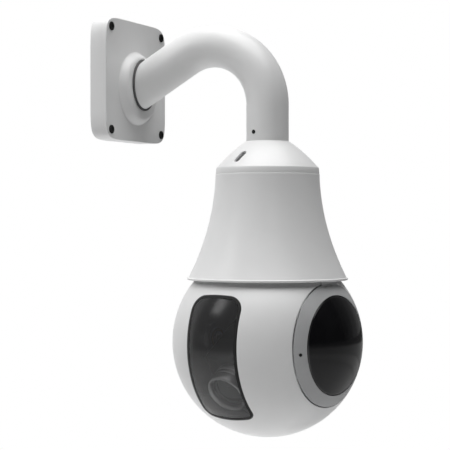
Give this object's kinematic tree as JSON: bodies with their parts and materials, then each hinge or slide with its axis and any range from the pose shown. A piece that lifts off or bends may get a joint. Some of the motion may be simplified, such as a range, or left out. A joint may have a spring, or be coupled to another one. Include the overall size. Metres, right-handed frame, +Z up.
{
  "type": "ptz camera",
  "caption": "Pan, tilt and zoom security camera: a ball with a dark strip window and dark side caps turns under a flared bell that hangs from a gooseneck wall arm.",
  "frame": {"origin": "centre of the wall bolt pattern, on the wall box's back face", "axes": "+Y into the wall, +Z up, +X to the right when looking at the wall"},
  "size_m": [0.2154, 0.2996, 0.481],
  "materials": {
    "white_paint": "satin",
    "grey_paint": "satin",
    "black_gloss": "gloss",
    "rubber_seal": "matte",
    "window_glass": "gloss",
    "lens_glass": "gloss",
    "black_screw": "satin",
    "steel": "satin",
    "brass_gear": "satin",
    "bare_aluminium": "satin",
    "dark_plastic": "matte",
    "circuit_board": "satin"
  },
  "bodies": {
    "bracket": {"wall_box": "white_paint", "box_seal": "rubber_seal", "box_cover": "white_paint", "cover_screws": "black_screw", "arm_seal": "rubber_seal", "arm_bolts": "steel", "arm_tube": "white_paint", "arm_set_screw": "black_screw", "mount_cap": "white_paint", "cap_lock_screw": "steel", "cap_screws": "steel", "bell_housing": "white_paint", "chassis_plate": "bare_aluminium", "chassis_screws": "steel", "pan_motor": "dark_plastic", "pan_bearing_outer": "steel", "slip_ring_bridge": "bare_aluminium", "slip_ring_stator": "dark_plastic", "main_board": "circuit_board", "board_standoffs": "steel", "network_jack": "steel", "heat_sink": "bare_aluminium"},
    "pan_drive": {"pan_pinion": "brass_gear"},
    "pan_head": {"yoke": "grey_paint", "pan_shaft": "steel", "pan_gear": "brass_gear", "pan_bearing_inner": "steel", "pan_bearing_balls": "steel", "pan_lock_nut": "steel", "gear_screws": "steel", "slip_ring_rotor": "brass_gear", "ear_cap_left": "black_gloss", "ear_cap_right": "black_gloss", "ear_screws": "black_screw", "tilt_axle_left": "steel", "tilt_axle_right": "steel", "axle_screws": "steel", "tilt_gear": "brass_gear"},
    "tilt_head": {"drum_front_shell": "white_paint", "drum_rear_shell": "white_paint", "end_plate_left": "bare_aluminium", "end_plate_right": "bare_aluminium", "end_plate_screws": "steel", "tilt_bush_left": "brass_gear", "tilt_bush_right": "brass_gear", "window": "window_glass", "window_seal": "rubber_seal", "camera_block": "dark_plastic", "camera_cradle": "bare_aluminium", "lens_barrel": "dark_plastic", "front_lens": "lens_glass", "image_sensor": "circuit_board", "sensor_board": "circuit_board", "tilt_motor": "dark_plastic", "tilt_motor_bracket": "bare_aluminium"},
    "tilt_drive": {"tilt_pinion": "brass_gear"},
    "zoom_cell": {"zoom_group": "dark_plastic"},
    "focus_cell": {"focus_group": "dark_plastic"}
  },
  "joints": [
    {"name": "pan", "type": "hinge", "parent": "bracket", "child": "pan_head", "pos_m": [0, -0.192, -0.302], "axis": [0, 0, 1], "continuous": true},
    {"name": "tilt", "type": "hinge", "parent": "pan_head", "child": "tilt_head", "pos_m": [0, -0.192, -0.302], "axis": [0.2079, 0.9781, 0], "range_deg": [-55, 55]},
    {"name": "pan_gear_drive", "type": "hinge", "parent": "bracket", "child": "pan_drive", "pos_m": [0.03217, -0.165, -0.182], "axis": [0, 0, 1], "continuous": true},
    {"name": "tilt_gear_drive", "type": "hinge", "parent": "tilt_head", "child": "tilt_drive", "pos_m": [-0.00781, -0.25679, -0.26891], "axis": [0.2079, 0.9781, 0], "range_deg": [-180, 180]},
    {"name": "zoom", "type": "slide", "parent": "tilt_head", "child": "zoom_cell", "axis": [0.8013, -0.1703, 0.5736], "range_m": [0, 0.028]},
    {"name": "focus", "type": "slide", "parent": "tilt_head", "child": "focus_cell", "axis": [0.8013, -0.1703, 0.5736], "range_m": [0, 0.0056]}
  ],
  "couplings": [
    {"joint": "pan_gear_drive", "follows": "pan", "ratio": -4},
    {"joint": "tilt_gear_drive", "follows": "tilt", "ratio": 3},
    {"joint": "focus", "follows": "zoom", "ratio": 0.2}
  ]
}
